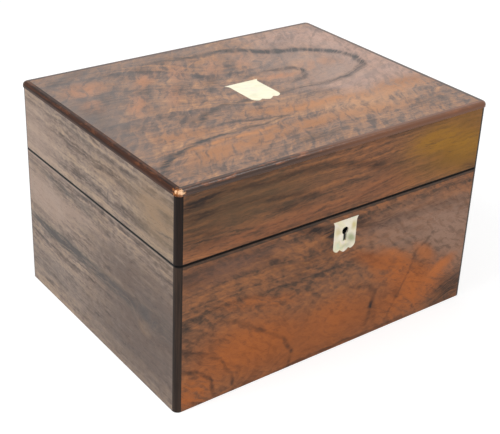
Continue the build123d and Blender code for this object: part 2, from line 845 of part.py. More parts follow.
# Box lock let into the front board: plate and selvedge, cap, sliding bolt, bow spring and drill pin
plate_back = front_inner - lock_plate_thickness
loop_foot = lid_rim - loop_top_web - loop_eye_height - loop_rim
eye_low = loop_foot + loop_rim
eye_high = eye_low + loop_eye_height
bar_top = loop_foot - loop_clearance
bar_foot = bar_top - bolt_bar_height
bar_depth = lock_depth - lock_plate_thickness - cap_wall - 2 * bolt_clearance
loops_x = [lock_x - loop_spacing / 2, lock_x + loop_spacing / 2]
nose_tip = -loop_thickness / 2 - bolt_standoff
nose_root = nose_tip - bolt_nose_reach
spring_x = (loops_x[0] + nose_tip + bolt_travel + loops_x[1] + nose_root - bolt_post_width) / 2
spring_low = bar_top + bolt_clearance
spring_high = eye_high - 1
stud_seats = [
    (lock_x - stud_spacing / 2, bar_foot - stud_radius - screw_fit),
    (lock_x + stud_spacing / 2, bar_foot - stud_radius - screw_fit),
    (spring_x - spring_length / 2 + stud_radius, spring_high + spring_thickness + stud_radius),
    (spring_x + spring_length / 2 - stud_radius, spring_high + spring_thickness + stud_radius),
]

drill_pin_end = Plane(origin=(lock_x, front_inner, keyhole_height), z_dir=(0, -1, 0))

with BuildPart() as lock_plate:
    block(
        (lock_x - lock_plate_width / 2, plate_back, plate_foot),
        (lock_x + lock_plate_width / 2, front_inner, case_rim - selvedge_thickness),
    )
    block(
        (lock_x - selvedge_length / 2, front_inner - lock_depth, case_rim - selvedge_thickness),
        (lock_x + selvedge_length / 2, front_inner, case_rim),
    )
    slot_x = loop_thickness / 2 + loop_clearance
    slot_y = loop_width / 2 + loop_clearance
    for x in loops_x:
        block(
            (x - slot_x, lock_mid - slot_y, case_rim - selvedge_thickness),
            (x + slot_x, lock_mid + slot_y, case_rim + 1),
            Mode.SUBTRACT,
        )
    for x, z in stud_seats:
        stud_foot = Plane(origin=(x, plate_back, z), z_dir=(0, -1, 0))
        small_round(stud_radius, stud_foot, plate_back - lock_mid + loop_width / 2)
    small_round(drill_pin_radius, drill_pin_end, lock_plate_thickness, Mode.SUBTRACT)
    with Locations(*[(x, y, case_rim) for x, y in selvedge_screw_points]):
        add(long_hole, mode=Mode.SUBTRACT)
    with Locations(*[Location((x, front_inner, z), outward) for x, z in plate_screw_points]):
        add(short_hole, mode=Mode.SUBTRACT)
finish_piece(lock_plate.part, "lock_plate")

with BuildPart() as lock_cap:
    block(
        (lock_x - cap_width / 2, front_inner - lock_depth, cap_foot),
        (lock_x + cap_width / 2, plate_back, case_rim - selvedge_thickness),
    )
    block(
        (lock_x - cap_width / 2 + cap_wall, front_inner - lock_depth + cap_wall, cap_foot + cap_wall),
        (lock_x + cap_width / 2 - cap_wall, plate_back, case_rim - selvedge_thickness),
        Mode.SUBTRACT,
    )
    with BuildSketch(Plane(origin=(lock_x, plate_back, keyhole_height), x_dir=(1, 0, 0), z_dir=(0, -1, 0))):
        add(keyhole())
    extrude(amount=lock_depth, mode=Mode.SUBTRACT)
finish_piece(lock_cap.part, "lock_cap")

with BuildPart() as lock_bolt:
    bar_start = loops_x[0] + nose_root - bolt_post_width
    block(
        (bar_start, lock_mid - bar_depth / 2, bar_foot),
        (lock_x + bolt_tail, lock_mid + bar_depth / 2, bar_top),
    )
    nose_width = loop_width - 2 * loop_rim - 2 * bolt_clearance
    for x in loops_x:
        block(
            (x + nose_root - bolt_post_width, lock_mid - nose_width / 2, bar_top),
            (x + nose_root, lock_mid + nose_width / 2, eye_high - bolt_clearance),
        )
        block(
            (x + nose_root, lock_mid - nose_width / 2, eye_low + bolt_clearance),
            (x + nose_tip, lock_mid + nose_width / 2, eye_high - bolt_clearance),
        )
    block(
        (lock_x - bolt_travel / 2 - talon_width / 2, lock_mid - bar_depth, bar_foot - 1),
        (lock_x - bolt_travel / 2 + talon_width / 2, lock_mid + bar_depth, bar_foot + talon_depth),
        Mode.SUBTRACT,
    )
finish_piece(lock_bolt.part, "lock_bolt")

with BuildPart() as lock_spring:
    with BuildSketch(Plane.XZ.offset(-lock_mid - loop_width / 2)):
        with BuildLine():
            ThreePointArc(
                (spring_x - spring_length / 2, spring_high + spring_thickness / 2),
                (spring_x, spring_low + spring_thickness / 2),
                (spring_x + spring_length / 2, spring_high + spring_thickness / 2),
            )
        trace(line_width=spring_thickness)
    extrude(amount=loop_width)
finish_piece(lock_spring.part, "lock_spring")

with BuildPart() as lock_drill_pin:
    small_round(drill_pin_radius, drill_pin_end, lock_depth)
finish_piece(lock_drill_pin.part, "lock_drill_pin")

with BuildPart() as lock_selvedge_screws:
    with Locations(*[(x, y, case_rim) for x, y in selvedge_screw_points]):
        add(long_screw)
finish_piece(lock_selvedge_screws.part, "lock_selvedge_screws")

with BuildPart() as lock_plate_screws:
    with Locations(*[Location((x, front_inner, z), outward) for x, z in plate_screw_points]):
        add(short_screw)
finish_piece(lock_plate_screws.part, "lock_plate_screws")

# Link plate in the lid's front rim, with the two eyed loops that drop through the selvedge
with BuildPart() as link_plate:
    block(
        (lock_x - selvedge_length / 2, front_inner - lock_depth, lid_rim),
        (lock_x + selvedge_length / 2, front_inner, lid_rim + selvedge_thickness),
    )
    for x in loops_x:
        block(
            (x - loop_thickness / 2, lock_mid - loop_width / 2, loop_foot),
            (x + loop_thickness / 2, lock_mid + loop_width / 2, lid_rim),
        )
    foot_edges = link_plate.edges().filter_by(Axis.X).group_by(Axis.Z)[0]
    fillet(foot_edges, loop_rim)
    for x in loops_x:
        block(
            (x - loop_thickness, lock_mid - loop_width / 2 + loop_rim, eye_low),
            (x + loop_thickness, lock_mid + loop_width / 2 - loop_rim, eye_high),
            Mode.SUBTRACT,
        )
    with Locations(*[Location((x, y, lid_rim), up) for x, y in selvedge_screw_points]):
        add(long_hole, mode=Mode.SUBTRACT)
finish_piece(link_plate.part, "link_plate")

with BuildPart() as link_plate_screws:
    with Locations(*[Location((x, y, lid_rim), up) for x, y in selvedge_screw_points]):
        add(long_screw)
finish_piece(link_plate_screws.part, "link_plate_screws")
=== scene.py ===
import math

import bmesh
import bpy
from mathutils import Euler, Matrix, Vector, noise


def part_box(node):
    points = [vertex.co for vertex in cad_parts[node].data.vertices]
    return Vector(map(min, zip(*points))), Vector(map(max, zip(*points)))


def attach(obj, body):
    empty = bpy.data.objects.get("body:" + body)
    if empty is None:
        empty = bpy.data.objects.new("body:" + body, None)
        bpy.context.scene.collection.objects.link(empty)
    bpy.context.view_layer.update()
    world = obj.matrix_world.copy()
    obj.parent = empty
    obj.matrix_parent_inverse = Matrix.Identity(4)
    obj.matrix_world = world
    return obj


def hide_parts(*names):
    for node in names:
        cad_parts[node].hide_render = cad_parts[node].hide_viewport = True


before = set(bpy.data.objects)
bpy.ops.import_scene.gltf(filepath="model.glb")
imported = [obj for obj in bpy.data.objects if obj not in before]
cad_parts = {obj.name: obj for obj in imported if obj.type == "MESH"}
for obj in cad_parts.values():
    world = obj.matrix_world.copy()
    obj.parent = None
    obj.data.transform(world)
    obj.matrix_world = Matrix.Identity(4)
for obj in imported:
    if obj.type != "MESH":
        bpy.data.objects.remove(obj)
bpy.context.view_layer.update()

# Carcass boards and the bottom board
# Softwood planed to 8 mm, dovetailed at the corners and glued up as one box that is sawn into case and lid.
# It shows underneath and in the keyhole: straight grain, never polished, and painted black round the lock as
# shade in the keyhole.

keyhole_x, keyhole_z = 4.5, 100.0
keyhole_shade_reach = 10.0
grain_ways = {"X": ("X", "Y", "Z"), "Y": ("Y", "X", "Z"), "Z": ("Z", "X", "Y")}


def shade(red, green, blue):
    """A colour as a paint chart gives it, 0 to 255, in the light units that shaders take."""
    light = []
    for step in (red, green, blue):
        part = step / 255
        light.append(part / 12.92 if step <= 10 else ((part + 0.055) / 1.055) ** 2.4)
    return (*light, 1.0)


def start_finish(name):
    """An empty finish: the material, its tree and its surface shader."""
    finish = bpy.data.materials.new(name)
    finish.use_nodes = True
    return finish, finish.node_tree, finish.node_tree.nodes["Principled BSDF"]


def put(tree, kind, feeds=(), **settings):
    """A node of this kind with its settings; feeds are sockets or values for inputs, by name or number."""
    node = tree.nodes.new("ShaderNode" + kind)
    for key, value in settings.items():
        setattr(node, key, value)
    for key, value in dict(feeds).items():
        if isinstance(value, bpy.types.NodeSocket):
            tree.links.new(value, node.inputs[key])
        else:
            node.inputs[key].default_value = value
    return node


def calc(tree, operation, *terms):
    """One sum on values or sockets."""
    return put(tree, "Math", dict(enumerate(terms)), operation=operation).outputs[0]


def smooth(tree, value, low, high, start=0.0, end=1.0):
    """Value carried from low..high to start..end with soft ends."""
    feeds = {"Value": value, "From Min": low, "From Max": high, "To Min": start, "To Max": end}
    return put(tree, "MapRange", feeds, interpolation_type="SMOOTHSTEP").outputs[0]


def tint(tree, amount, first, second):
    """Two colours mixed by an amount, which is kept between 0 and 1."""
    feeds = {0: amount, 6: first, 7: second}
    return put(tree, "Mix", feeds, data_type="RGBA", clamp_factor=True).outputs[2]


def chart(tree, value, stops):
    """A run of colours along a value from 0 to 1."""
    node = put(tree, "ValToRGB", {0: value})
    ramp = node.color_ramp
    while len(ramp.elements) < len(stops):
        ramp.elements.new(0.5)
    for element, (place, colour) in zip(ramp.elements, stops):
        element.position = place
        element.color = colour
    return node.outputs[0]


def on_face(tree, across, along, through):
    """Millimetres on a face of the box, as a flat place and as three separate lengths."""
    place = put(tree, "TexCoord").outputs["Object"]
    scaled = put(tree, "VectorMath", {0: place, 1: (1000, 1000, 1000)}, operation="MULTIPLY").outputs[0]
    parts = put(tree, "SeparateXYZ", {0: scaled}).outputs
    flat = put(tree, "CombineXYZ", {0: parts[across], 1: parts[along], 2: parts[through]}).outputs[0]
    return flat, parts


def stretch(tree, place, scale):
    """A place scaled along each way."""
    return put(tree, "VectorMath", {0: place, 1: scale}, operation="MULTIPLY").outputs[0]


def cloud(tree, place, scale, detail=3.0, roughness=0.55, twist=0.0):
    """Soft noise from 0 to 1 on a place; three scales, one for each way, draw the noise out."""
    if isinstance(scale, tuple):
        place = stretch(tree, place, scale)
        scale = 1.0
    feeds = {"Vector": place, "Scale": scale, "Detail": detail, "Roughness": roughness, "Distortion": twist}
    return put(tree, "TexNoise", feeds).outputs[0]


def distance(tree, place, spot):
    """How far a place lies from a spot."""
    return put(tree, "VectorMath", {0: place, 1: spot}, operation="DISTANCE").outputs["Value"]


def raise_surface(tree, shader, height, depth):
    """Bump of a real depth in metres on a shader."""
    bump = put(tree, "Bump", {"Height": height, "Distance": depth, "Strength": 1.0}).outputs[0]
    tree.links.new(bump, shader.inputs["Normal"])


def dress(names, finish):
    """Give CAD pieces their finish."""
    for name in names:
        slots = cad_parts[name].data.materials
        slots.clear()
        slots.append(finish)


def plain_wood(name, along, light, dark, line_gap, keyhole_shade=False):
    """Planed straight-grained wood with its grain along one axis, with painted shade, black round the
    keyhole, or not.
    """
    finish, tree, shader = start_finish(name)
    place, parts = on_face(tree, *grain_ways[along])
    drift = cloud(tree, place, (0.006, 0.03, 0.03), 2.0)
    rings = cloud(tree, place, (0.004, 1 / line_gap, 1 / line_gap), 4.0, 0.6, 0.4)
    fibre = cloud(tree, place, (0.05, 3.0, 3.0), 3.0, 0.7)
    tone = calc(tree, "ADD", calc(tree, "MULTIPLY", rings, 0.75), calc(tree, "MULTIPLY", fibre, 0.25))
    colour = chart(tree, tone, [(0.32, dark), (0.50, light), (0.68, light)])
    colour = tint(tree, smooth(tree, drift, 0.35, 0.75, 0.0, 0.35), colour, dark)
    # Painted shade: the wood round the keyhole is black, as the hole lies in shade.
    if keyhole_shade:
        flat = put(tree, "CombineXYZ", {0: parts["X"], 1: parts["Z"]}).outputs[0]
        away = distance(tree, flat, (keyhole_x, keyhole_z, 0))
        black = smooth(tree, away, keyhole_shade_reach * 0.8, keyhole_shade_reach, 1.0, 0.0)
        colour = tint(tree, black, colour, keyhole_shade_black)
    tree.links.new(colour, shader.inputs["Base Color"])
    shader.inputs["Roughness"].default_value = 0.72
    raise_surface(tree, shader, fibre, 0.00008)
    return finish


# Black for the painted shade in and round the keyhole.
keyhole_shade_black = shade(8, 7, 6)
pine_light, pine_dark = shade(176, 132, 84), shade(120, 80, 46)
pine_rings = 5.0
pine_x = plain_wood("pine_along_front", "X", pine_light, pine_dark, pine_rings)
pine_y = plain_wood("pine_along_sides", "Y", pine_light, pine_dark, pine_rings)
pine_front = plain_wood("pine_round_keyhole", "X", pine_light, pine_dark, pine_rings, keyhole_shade=True)
dress(["case_front_board"], pine_front)
dress(["case_back_board", "lid_front_board", "lid_back_board", "case_bottom_board", "lid_top_board"], pine_x)
dress([f"{half}_{side}_board" for half in ("case", "lid") for side in ("left", "right")], pine_y)

# Rosewood veneers
# Sheets 1.2 mm thick glued over the carcass between the beads, each with its own figure, and French polished.
# The polish is old: soft gloss, hazed by handling, with fine pores, small chips and a scratch or two.
# Patches of colour are given in millimetres on the face: x, y, half length, half width, turn and strength.

seam_height = 117.6
lip_middle = seam_height - 1.6
glue_line = seam_height - 2.9
through_and_through = 1e6
umber = shade(46, 36, 32)
slate = shade(66, 58, 54)
pore_brown = shade(40, 28, 24)
glue_brown = shade(40, 30, 26)
# Black for the painted shade in the seam between lid and case.
seam_shade_black = shade(10, 7, 6)


def stains(tree, place, patches):
    """Sum of soft oval patches."""
    total = None
    for x, y, length, width, turn, strength in patches:
        middle = {"Vector": place, "Location": (x, y, 0), "Rotation": (0, 0, math.radians(turn))}
        spread = {"Scale": (length, width, through_and_through)}
        local = put(tree, "Mapping", {**middle, **spread}, vector_type="TEXTURE").outputs[0]
        dome = put(tree, "TexGradient", {0: local}, gradient_type="SPHERICAL").outputs[1]
        weight = smooth(tree, dome, 0.0, 0.85, 0.0, strength)
        total = weight if total is None else calc(tree, "ADD", total, weight)
    return total


def stroke(points, width, strength):
    """Patches end to end along a drawn streak."""
    patches = []
    for (x0, y0), (x1, y1) in zip(points, points[1:]):
        run = math.hypot(x1 - x0, y1 - y0)
        turn = math.degrees(math.atan2(y1 - y0, x1 - x0))
        patches.append(((x0 + x1) / 2, (y0 + y1) / 2, run * 0.8 + width, width, turn, strength))
    return patches


def shift(tree, place, scale, reach):
    """A place pushed about by noise, reach millimetres at most."""
    feeds = {"Vector": place, "Scale": scale, "Detail": 2.0, "Roughness": 0.5}
    push = put(tree, "TexNoise", feeds).outputs[1]
    push = put(tree, "VectorMath", {0: push, 1: (0.5, 0.5, 0.5)}, operation="SUBTRACT").outputs[0]
    push = stretch(tree, push, (2 * reach, 2 * reach, 0))
    return put(tree, "VectorMath", {0: place, 1: push}, operation="ADD").outputs[0]


def bend_grain(tree, flat, sway):
    """A place on a face with the grain's waves in it: slow ones first, then quicker and smaller ones."""
    slow = shift(tree, flat, 0.02, sway)
    quick = shift(tree, slow, 0.09, sway * 0.28)
    return shift(tree, quick, 0.35, 0.9)


def line_noise(tree, value, gap, detail):
    """Noise along one value, with features about gap millimetres apart."""
    feeds = {"W": calc(tree, "DIVIDE", value, gap), "Scale": 1.0, "Detail": detail, "Roughness": 0.6}
    return put(tree, "TexNoise", feeds, noise_dimensions="1D").outputs[0]


def band(tree, value, middle, inner, outer, strength):
    """Strength where a value is within inner of the middle, fading out to nothing at outer."""
    away = calc(tree, "ABSOLUTE", calc(tree, "SUBTRACT", value, middle))
    return smooth(tree, away, inner, outer, strength, 0.0)


def seam_shade(tree, colour, height):
    """Painted shade: black between the rims and on their edges, where the gap between lid and case is in
    shade.
    """
    return tint(tree, band(tree, height, seam_height, 0.8, 1.35, 0.98), colour, seam_shade_black)


def rosewood(name, face, hues, sway, gap, hills, curl, weights, tints, darks, gloss, rough, lip=None):
    """Figured rosewood for one face.

    face names the axes across, along and through it; hues run from dark to pale; hills bend the growth lines,
    gap millimetres apart; curl is the turn, length and width of the curly streaks; weights are those of wide
    bands, lines, curls, mottle and flecks; tints are colours over patches, broken up by the curls or not;
    darks is one colour over patches, broken up along the lines; lip is the strip below the seam.
    """
    finish, tree, shader = start_finish(name)
    flat, parts = on_face(tree, *face)
    bent = bend_grain(tree, flat, sway)
    bent_parts = put(tree, "SeparateXYZ", {0: bent}).outputs
    level = calc(tree, "ADD", bent_parts[1], stains(tree, bent, hills))
    curl_turn, curl_length, curl_width = curl
    turned = put(tree, "Mapping", {"Vector": bent, "Rotation": (0, 0, -math.radians(curl_turn))}).outputs[0]
    wide = line_noise(tree, level, gap, 2.0)
    lines = line_noise(tree, level, gap * 0.17, 3.0)
    curls = cloud(tree, turned, (1 / curl_length, 1 / curl_width, 0), 3.0, 0.6, 0.7)
    mottle = cloud(tree, bent, (0.13, 0.26, 0), 3.0, 0.65)
    *figure_weights, fleck_strength = weights
    tone = 0.5 - 0.5 * sum(figure_weights)
    for part, weight in zip((wide, lines, curls, mottle), figure_weights):
        tone = calc(tree, "MULTIPLY_ADD", part, weight, tone)
    colour = chart(tree, tone, hues)
    for tint_colour, patches, broken in tints:
        amount = stains(tree, bent, patches)
        if broken:
            amount = calc(tree, "MULTIPLY", amount, smooth(tree, curls, 0.34, 0.6, 0.25, 1.1))
        colour = tint(tree, amount, colour, tint_colour)
    along_lines = put(tree, "CombineXYZ", {0: bent_parts[0], 1: level}).outputs[0]
    streaks = cloud(tree, along_lines, (0.045, 0.42, 0), 3.0, 0.6, 0.5)
    dark_colour, dark_patches = darks
    broken_up = smooth(tree, streaks, 0.36, 0.62, 0.45, 1.1)
    amount = calc(tree, "MULTIPLY", stains(tree, bent, dark_patches), broken_up)
    colour = tint(tree, amount, colour, dark_colour)
    darkest = hues[0][1]
    colour = tint(tree, smooth(tree, streaks, 0.54, 0.74, 0.0, fleck_strength), colour, darkest)
    pitted = smooth(tree, cloud(tree, flat, (0.2, 2.2, 0), 2.0, 0.6), 0.58, 0.7)
    colour = tint(tree, calc(tree, "MULTIPLY", pitted, 0.4), colour, pore_brown)
    if lip:
        lip_colour, lip_strength = lip
        strip = band(tree, parts["Z"], lip_middle, 1.0, 1.5, lip_strength)
        strip = calc(tree, "MULTIPLY", strip, smooth(tree, mottle, 0.3, 0.6, 0.35, 1.0))
        colour = tint(tree, strip, colour, lip_colour)
        colour = tint(tree, band(tree, parts["Z"], glue_line, 0.1, 0.4, 0.4), colour, glue_brown)
    # Painted shade: black along the seam between lid and case.
    colour = seam_shade(tree, colour, parts["Z"])
    tree.links.new(colour, shader.inputs["Base Color"])
    haze = cloud(tree, flat, 0.05, 4.0, 0.6)
    dull = smooth(tree, haze, 0.3, 0.75, rough, rough + 0.12)
    tree.links.new(calc(tree, "MULTIPLY_ADD", pitted, 0.16, dull), shader.inputs["Roughness"])
    shader.inputs["Specular IOR Level"].default_value = gloss
    waviness = cloud(tree, flat, 0.06, 2.0, 0.5)
    relief = calc(tree, "MULTIPLY_ADD", waviness, 2.2, calc(tree, "MULTIPLY", pitted, -0.25))
    raise_surface(tree, shader, relief, 0.00012)
    return finish


seen_from_above, seen_from_front, seen_from_side = ("X", "Y", "Z"), ("X", "Z", "Y"), ("Y", "Z", "X")

top_hues = [
    (0.18, shade(66, 54, 50)), (0.36, shade(100, 78, 66)), (0.50, shade(136, 102, 80)),
    (0.64, shade(158, 114, 82)), (0.82, shade(188, 140, 98)),
]
top_loop = [
    (-36, 88), (-4, 85), (24, 82), (45, 76), (58, 64), (76, 57), (97, 48), (110, 38), (117, 22), (113, 4),
    (98, -7),
]
top_loop_return = [(98, -7), (77, -13), (35, -13), (-10, -11), (-40, -12), (-56, -18), (-64, -28)]
top_eye = [(10, 27), (36, 30), (54, 24), (60, 15), (52, 4), (36, 0)]
top_tongue = [
    (-54, -38), (-30, -45), (-6, -51), (-26, -54), (-60, -55), (-84, -57), (-108, -63), (-126, -72),
]
top_tail = [(-118, -66), (-128, -76), (-134, -90)]
top_darks = (
    stroke(top_loop, 7.5, 0.75) + stroke(top_loop_return, 5, 0.7) + stroke(top_eye, 5, 0.6)
    + stroke(top_tongue, 3.6, 0.8) + stroke(top_tail, 6, 0.7)
    + [
        (-84, -57, 10, 6, -10, 0.8), (36, -27, 36, 15, -8, 0.6), (-112, -92, 24, 12, 0, 0.4),
        (-14, -92, 46, 9, 3, 0.65), (110, -86, 28, 11, -6, 0.45), (66, 60, 24, 9, -30, 0.5),
        (84, 56, 14, 8, -16, 0.4), (-70, -22, 20, 16, 30, 0.35), (-104, 44, 12, 28, -26, 0.4),
        (-72, 38, 10, 34, -34, 0.45), (-42, 34, 9, 36, -40, 0.5), (-14, 34, 8, 34, -40, 0.45),
        (16, 56, 9, 28, -30, 0.45), (-126, 20, 12, 40, -10, 0.35), (-110, 92, 40, 8, 20, 0.35),
        (-50, 80, 16, 14, 40, 0.4),
    ]
)
top_tints_and_painted_reflection = [
    # The first two tints are painted reflection: the top is paler and pinker to the right and back, where a
    # bright backdrop shows in the polish.
    (shade(170, 142, 128), [(100, 40, 110, 120, 0, 0.5), (80, -20, 90, 60, 0, 0.3)], False),
    (shade(192, 154, 138), [
        (104, 84, 70, 40, -20, 0.45), (130, 20, 44, 90, 0, 0.55), (76, -30, 80, 34, 0, 0.4),
    ], True),
    (shade(104, 92, 86), [
        (-120, 50, 80, 90, 20, 0.6), (-134, -20, 34, 80, 0, 0.5), (-40, 98, 120, 16, 0, 0.45),
    ], False),
    (shade(164, 110, 68), [
        (0, -36, 46, 13, -8, 0.9), (44, -48, 90, 12, -4, 0.95), (110, -46, 50, 17, 6, 0.8),
        (-62, -63, 66, 5, 3, 1.0), (-16, -72, 124, 12, 0, 1.0), (-84, -80, 50, 12, 3, 0.9),
        (66, -76, 70, 12, -4, 0.6), (-88, -42, 40, 15, -10, 0.7),
    ], True),
    (shade(196, 144, 102), [(60, -60, 70, 26, 0, 0.6), (30, -30, 60, 12, -10, 0.5)], True),
    (shade(186, 124, 72), [
        (20, -44, 60, 7, -6, 0.5), (110, -56, 40, 6, 4, 0.6), (-62, -63.5, 60, 2.4, 3, 0.8),
    ], True),
    (shade(178, 122, 86), [
        (-60, 60, 26, 12, 44, 0.8), (-108, 66, 28, 18, 20, 0.7), (-28, 60, 13, 30, -34, 0.7),
        (-90, 20, 11, 34, -30, 0.7), (37, 15, 21, 8, -8, 0.9), (0, 54, 10, 34, -36, 0.6),
        (-56, 22, 9, 36, -36, 0.7), (80, 20, 34, 16, 0, 0.4), (-120, 36, 12, 20, -20, 0.5),
        (30, 58, 12, 30, -30, 0.5),
    ], True),
]
top_rosewood = rosewood(
    "rosewood_top", seen_from_above, top_hues, sway=8.0, gap=15.0,
    hills=[(30, 24, 138, 84, -14, 46), (37, 14, 34, 18, -8, 12)],
    curl=(54, 17.0, 5.4), weights=(0.9, 0.35, 1.0, 0.55, 0.25),
    tints=top_tints_and_painted_reflection, darks=(umber, top_darks), gloss=0.5, rough=0.32,
)
dress(["lid_top_veneer"], top_rosewood)

front_hues = [
    (0.18, shade(62, 50, 44)), (0.36, shade(98, 72, 56)), (0.50, shade(128, 88, 64)),
    (0.64, shade(148, 98, 66)), (0.82, shade(166, 112, 72)),
]
case_front_darks = (
    stroke([(-40, 116), (-24, 110), (-8, 103), (4, 95)], 7, 0.7)
    + stroke([(-108, 63), (-92, 58), (-77, 49), (-58, 37), (-46, 28), (-38, 14), (-40, 2)], 3.0, 0.5)
    + stroke([(14, 50), (32, 46), (41, 37), (37, 25), (34, 10)], 3.4, 0.5)
    + stroke([(-138, 33), (-122, 29), (-112, 18), (-109, 2)], 2.8, 0.55)
    + stroke([(-138, 49), (-118, 43), (-102, 31), (-94, 16), (-92, 2)], 2.6, 0.5)
    + stroke([(100, 72), (82, 60), (76, 46), (66, 26), (54, 4)], 2.4, 0.35)
    + [
        (20, 104, 22, 9, 0, 0.45), (44, 98, 60, 8, -6, 0.55), (110, 92, 60, 10, -16, 0.3),
        (66, 84, 34, 5, -24, 0.3), (126, 12, 40, 20, 22, 0.8), (-30, 84, 14, 30, -50, 0.35),
        (-88, 112, 70, 5, -3, 0.3), (40, 20, 6, 20, 10, 0.35), (-128, 104, 24, 12, 0, 0.4),
        (-60, 96, 34, 9, -30, 0.3), (-8, 92, 10, 24, 0, 0.35), (0, 1, 150, 2.4, 0, 0.6),
    ]
)
case_front_tints = [
    (shade(104, 78, 68), [(-100, 104, 70, 16, 0, 0.6), (40, 96, 40, 12, -8, 0.4)], False),
    (shade(138, 108, 92), [(84, 84, 84, 30, -8, 0.35), (128, 60, 44, 50, 0, 0.35)], False),
    (shade(150, 118, 100), [(84, 82, 84, 32, -8, 0.8), (128, 60, 44, 50, 0, 0.8)], True),
    (shade(152, 84, 40), [
        (-10, 20, 150, 40, 0, 0.7), (40, 66, 44, 10, -26, 0.7), (82, 36, 44, 22, -30, 0.5),
        (-90, 40, 70, 34, 0, 0.4),
    ], False),
    (shade(172, 98, 50), [
        (60, 50, 44, 20, -34, 0.9), (86, 24, 56, 26, 20, 0.9), (-128, 12, 26, 22, 0, 0.8),
        (-80, 34, 60, 30, 0, 0.7), (0, 30, 34, 26, 0, 0.5), (-70, 66, 60, 9, -14, 0.5),
    ], True),
    (shade(186, 108, 56), [
        (110, 36, 26, 8, 22, 0.8), (92, 56, 22, 9, -34, 0.6), (58, 66, 30, 6, -30, 0.5),
    ], False),
    # Painted shade: black in the keyhole, under the escutcheon.
    (keyhole_shade_black, [(keyhole_x, keyhole_z, 8, 10, 0, 4.0)], False),
]
case_front_rosewood = rosewood(
    "rosewood_case_front", seen_from_front, front_hues, sway=5.0, gap=13.0,
    hills=[
        (-140, 0, 100, 78, 0, 60), (-52, 0, 100, 76, 6, 46),
        (40, 6, 74, 64, 20, 40), (96, 30, 66, 44, 24, 30),
    ],
    curl=(-32, 12.0, 4.0), weights=(0.7, 0.3, 0.7, 0.7, 0.2),
    tints=case_front_tints, darks=(umber, case_front_darks), gloss=0.12, rough=0.42,
    lip=(shade(44, 44, 40), 0.8),
)
dress(["case_front_veneer"], case_front_rosewood)

lid_front_darks = (
    stroke([(-136, 160), (-100, 163), (-60, 160), (-16, 160), (14, 153), (34, 147)], 5, 0.6)
    + stroke([(-132, 150), (-90, 151), (-50, 145), (-20, 136)], 5, 0.5)
    + [
        (-48, 136, 30, 6, -14, 0.55), (44, 144, 30, 9, -20, 0.35), (-122, 136, 28, 16, -10, 0.5),
        (-128, 158, 30, 14, 0, 0.5), (60, 167, 80, 3, 0, 0.4), (-60, 168, 80, 4, 0, 0.5),
        (132, 122, 20, 6, 0, 0.5), (0, 120, 140, 1.6, 0, 0.4),
    ]
)
lid_front_tints = [
    (shade(92, 72, 52), [(-90, 152, 110, 30, 0, 0.7)], False),
    (shade(142, 90, 62), [(-60, 125, 120, 9, 0, 0.7), (40, 130, 50, 14, 0, 0.6)], True),
    (shade(134, 94, 38), [(112, 150, 84, 54, 0, 0.7), (128, 134, 50, 26, 0, 0.4)], False),
    (shade(156, 110, 38), [(92, 152, 44, 16, 0, 0.8), (124, 142, 28, 14, 0, 0.7)], True),
]
lid_front_rosewood = rosewood(
    "rosewood_lid_front", seen_from_front, front_hues, sway=3.0, gap=8.0,
    hills=[(-30, 118, 120, 34, 0, 10)],
    curl=(4, 24.0, 2.6), weights=(0.5, 0.5, 0.7, 0.5, 0.35),
    tints=lid_front_tints, darks=(umber, lid_front_darks), gloss=0.12, rough=0.42,
)
dress(["lid_front_veneer"], lid_front_rosewood)

left_hues = [
    (0.18, shade(72, 58, 50)), (0.36, shade(104, 86, 74)), (0.50, shade(134, 114, 100)),
    (0.64, shade(152, 130, 110)), (0.82, shade(172, 146, 122)),
]
left_long_streaks = [
    (46, 107, 90, 6, 2, 0.7), (10, 60, 150, 10, 0, 0.9), (62, 59, 60, 9, 2, 0.6), (-84, 62, 50, 20, 0, 0.4),
    (-20, 124, 90, 5, 0, 0.3), (0, 160, 80, 6, 4, 0.3), (80, 20, 60, 14, 0, 0.3), (-40, 20, 90, 6, 0, 0.3),
]
left_scratch_and_chips = [
    (-21.5, 130, 0.8, 11, 0, 0.8), (-60, 111.5, 7, 0.9, 0, 1.0), (-92, 135, 16, 0.7, -6, 0.8),
    (-92, 146, 12, 0.6, 0, 0.5),
]
left_tints_and_painted_light = [
    # The first two tints are painted shade, darker towards the near corner and the foot of the face.
    (shade(76, 60, 52), [(-86, 58, 120, 66, 0, 0.5), (-50, 14, 120, 44, 0, 0.25)], False),
    (shade(90, 72, 62), [
        (-86, 60, 120, 60, 0, 0.8), (-40, 20, 120, 40, 0, 0.5), (-20, 86, 70, 20, 0, 0.4),
    ], True),
    (shade(122, 102, 76), [(-96, 140, 70, 40, 0, 0.5)], False),
    # Painted reflection: the face is paler towards the back.
    (shade(160, 136, 120), [
        (80, 86, 74, 24, 2, 0.9), (94, 134, 66, 44, 0, 0.7), (20, 94, 60, 8, 0, 0.5),
    ], False),
    (shade(144, 116, 88), [
        (-86, 146, 40, 26, 0, 0.8), (-68, 48, 12, 9, 0, 0.45), (-30, 150, 70, 14, 0, 0.3),
    ], True),
    (shade(128, 112, 102), [(60, 24, 90, 22, 0, 0.5)], True),
]
left_rosewood = rosewood(
    "rosewood_left", seen_from_side, left_hues, sway=3.0, gap=9.0,
    hills=[(-68, 48, 30, 20, 0, 12), (50, 60, 120, 40, 0, 5)],
    curl=(3, 26.0, 4.2), weights=(0.7, 0.35, 0.8, 0.8, 0.4),
    tints=left_tints_and_painted_light, darks=(slate, left_long_streaks + left_scratch_and_chips), gloss=0.26, rough=0.36,
    lip=(shade(150, 132, 118), 0.5),
)
dress(["case_left_veneer", "lid_left_veneer"], left_rosewood)

